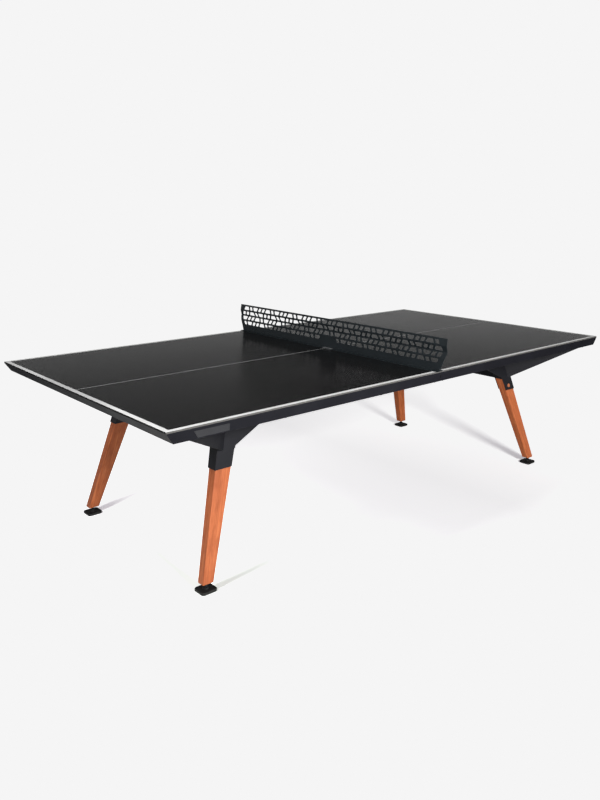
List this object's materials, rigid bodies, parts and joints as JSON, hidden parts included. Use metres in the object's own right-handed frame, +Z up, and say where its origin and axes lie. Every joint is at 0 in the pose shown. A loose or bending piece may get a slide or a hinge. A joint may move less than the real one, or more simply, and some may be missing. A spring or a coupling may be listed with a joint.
{
  "type": "ping pong table",
  "caption": "Full-size outdoor ping pong table with a dark top in two halves, white edge lines, a perforated steel net, and splayed tapered wooden legs in black steel brackets.",
  "frame": {"origin": "on the floor, midway along and across the table, under the middle of the net", "axes": "+X along the table towards its right end, +Y across it towards the far long side, +Z up"},
  "size_m": [2.74, 1.597, 0.912],
  "materials": {
    "panel_laminate": "satin, fine grain",
    "line_paint": "satin paint",
    "frame_steel": "satin powder coat",
    "bracket_steel": "satin powder coat",
    "net_steel": "satin powder coat",
    "leg_wood": "oiled, satin",
    "foot_plastic": "matt",
    "sole_rubber": "matt",
    "zinc_steel": "zinc plated",
    "black_fasteners": "black passivated",
    "foam_tape": "matt foam",
    "badge_grey": "satin",
    "disc_orange": "satin enamel"
  },
  "bodies": {
    "table": {"bracket_disc": "disc_orange", "far_left_leg": "leg_wood", "far_left_leg_bracket": "bracket_steel", "far_left_side_rail": "frame_steel", "far_right_leg": "leg_wood", "far_right_leg_bracket": "bracket_steel", "far_right_side_rail": "frame_steel", "flange_bolts": "black_fasteners", "foot_inserts": "zinc_steel", "left_court_lines": "line_paint", "left_cross_beams": "frame_steel", "left_crossbar": "frame_steel", "left_end_rail": "frame_steel", "left_playing_panel": "panel_laminate", "leg_bolts": "black_fasteners", "leg_inserts": "zinc_steel", "near_left_leg": "leg_wood", "near_left_leg_bracket": "bracket_steel", "near_left_side_rail": "frame_steel", "near_right_leg": "leg_wood", "near_right_leg_bracket": "bracket_steel", "near_right_side_rail": "frame_steel", "panel_bonding_tape": "foam_tape", "rail_badge": "badge_grey", "rail_screws": "black_fasteners", "right_court_lines": "line_paint", "right_cross_beams": "frame_steel", "right_crossbar": "frame_steel", "right_end_rail": "frame_steel", "right_playing_panel": "panel_laminate", "seam_beams": "frame_steel", "seam_bolts": "black_fasteners", "seam_nuts": "zinc_steel", "seam_spacers": "zinc_steel"},
    "net": {"net_centre_plate": "zinc_steel", "net_sheet": "net_steel", "net_shoes": "net_steel", "net_tongues": "net_steel"},
    "near_left_foot": {"near_left_foot_pad": "foot_plastic", "near_left_foot_sole": "sole_rubber"},
    "near_left_stud": {"near_left_foot_stud": "black_fasteners"},
    "far_left_foot": {"far_left_foot_pad": "foot_plastic", "far_left_foot_sole": "sole_rubber"},
    "far_left_stud": {"far_left_foot_stud": "black_fasteners"},
    "near_right_foot": {"near_right_foot_pad": "foot_plastic", "near_right_foot_sole": "sole_rubber"},
    "near_right_stud": {"near_right_foot_stud": "black_fasteners"},
    "far_right_foot": {"far_right_foot_pad": "foot_plastic", "far_right_foot_sole": "sole_rubber"},
    "far_right_stud": {"far_right_foot_stud": "black_fasteners"}
  },
  "joints": [
    {"name": "net_lift", "type": "slide", "parent": "table", "child": "net", "axis": [0, 0, 1], "range_m": [0, 0.05]},
    {"name": "near_left_level", "type": "slide", "parent": "table", "child": "near_left_foot", "axis": [0, 0, -1], "range_m": [0, 0.012]},
    {"name": "near_left_screw", "type": "hinge", "parent": "near_left_foot", "child": "near_left_stud", "pos_m": [-1.09675, -0.51525, 0.03], "axis": [0, 0, -1], "range_deg": [0, 2880]},
    {"name": "far_left_level", "type": "slide", "parent": "table", "child": "far_left_foot", "axis": [0, 0, -1], "range_m": [0, 0.012]},
    {"name": "far_left_screw", "type": "hinge", "parent": "far_left_foot", "child": "far_left_stud", "pos_m": [-1.09675, 0.51525, 0.03], "axis": [0, 0, -1], "range_deg": [0, 2880]},
    {"name": "near_right_level", "type": "slide", "parent": "table", "child": "near_right_foot", "axis": [0, 0, -1], "range_m": [0, 0.012]},
    {"name": "near_right_screw", "type": "hinge", "parent": "near_right_foot", "child": "near_right_stud", "pos_m": [1.09675, -0.51525, 0.03], "axis": [0, 0, -1], "range_deg": [0, 2880]},
    {"name": "far_right_level", "type": "slide", "parent": "table", "child": "far_right_foot", "axis": [0, 0, -1], "range_m": [0, 0.012]},
    {"name": "far_right_screw", "type": "hinge", "parent": "far_right_foot", "child": "far_right_stud", "pos_m": [1.09675, 0.51525, 0.03], "axis": [0, 0, -1], "range_deg": [0, 2880]}
  ],
  "couplings": [
    {"joint": "near_left_screw", "follows": "near_left_level", "rad_per_m": 4188.8},
    {"joint": "far_left_screw", "follows": "far_left_level", "rad_per_m": 4188.8},
    {"joint": "near_right_screw", "follows": "near_right_level", "rad_per_m": 4188.8},
    {"joint": "far_right_screw", "follows": "far_right_level", "rad_per_m": 4188.8}
  ]
}
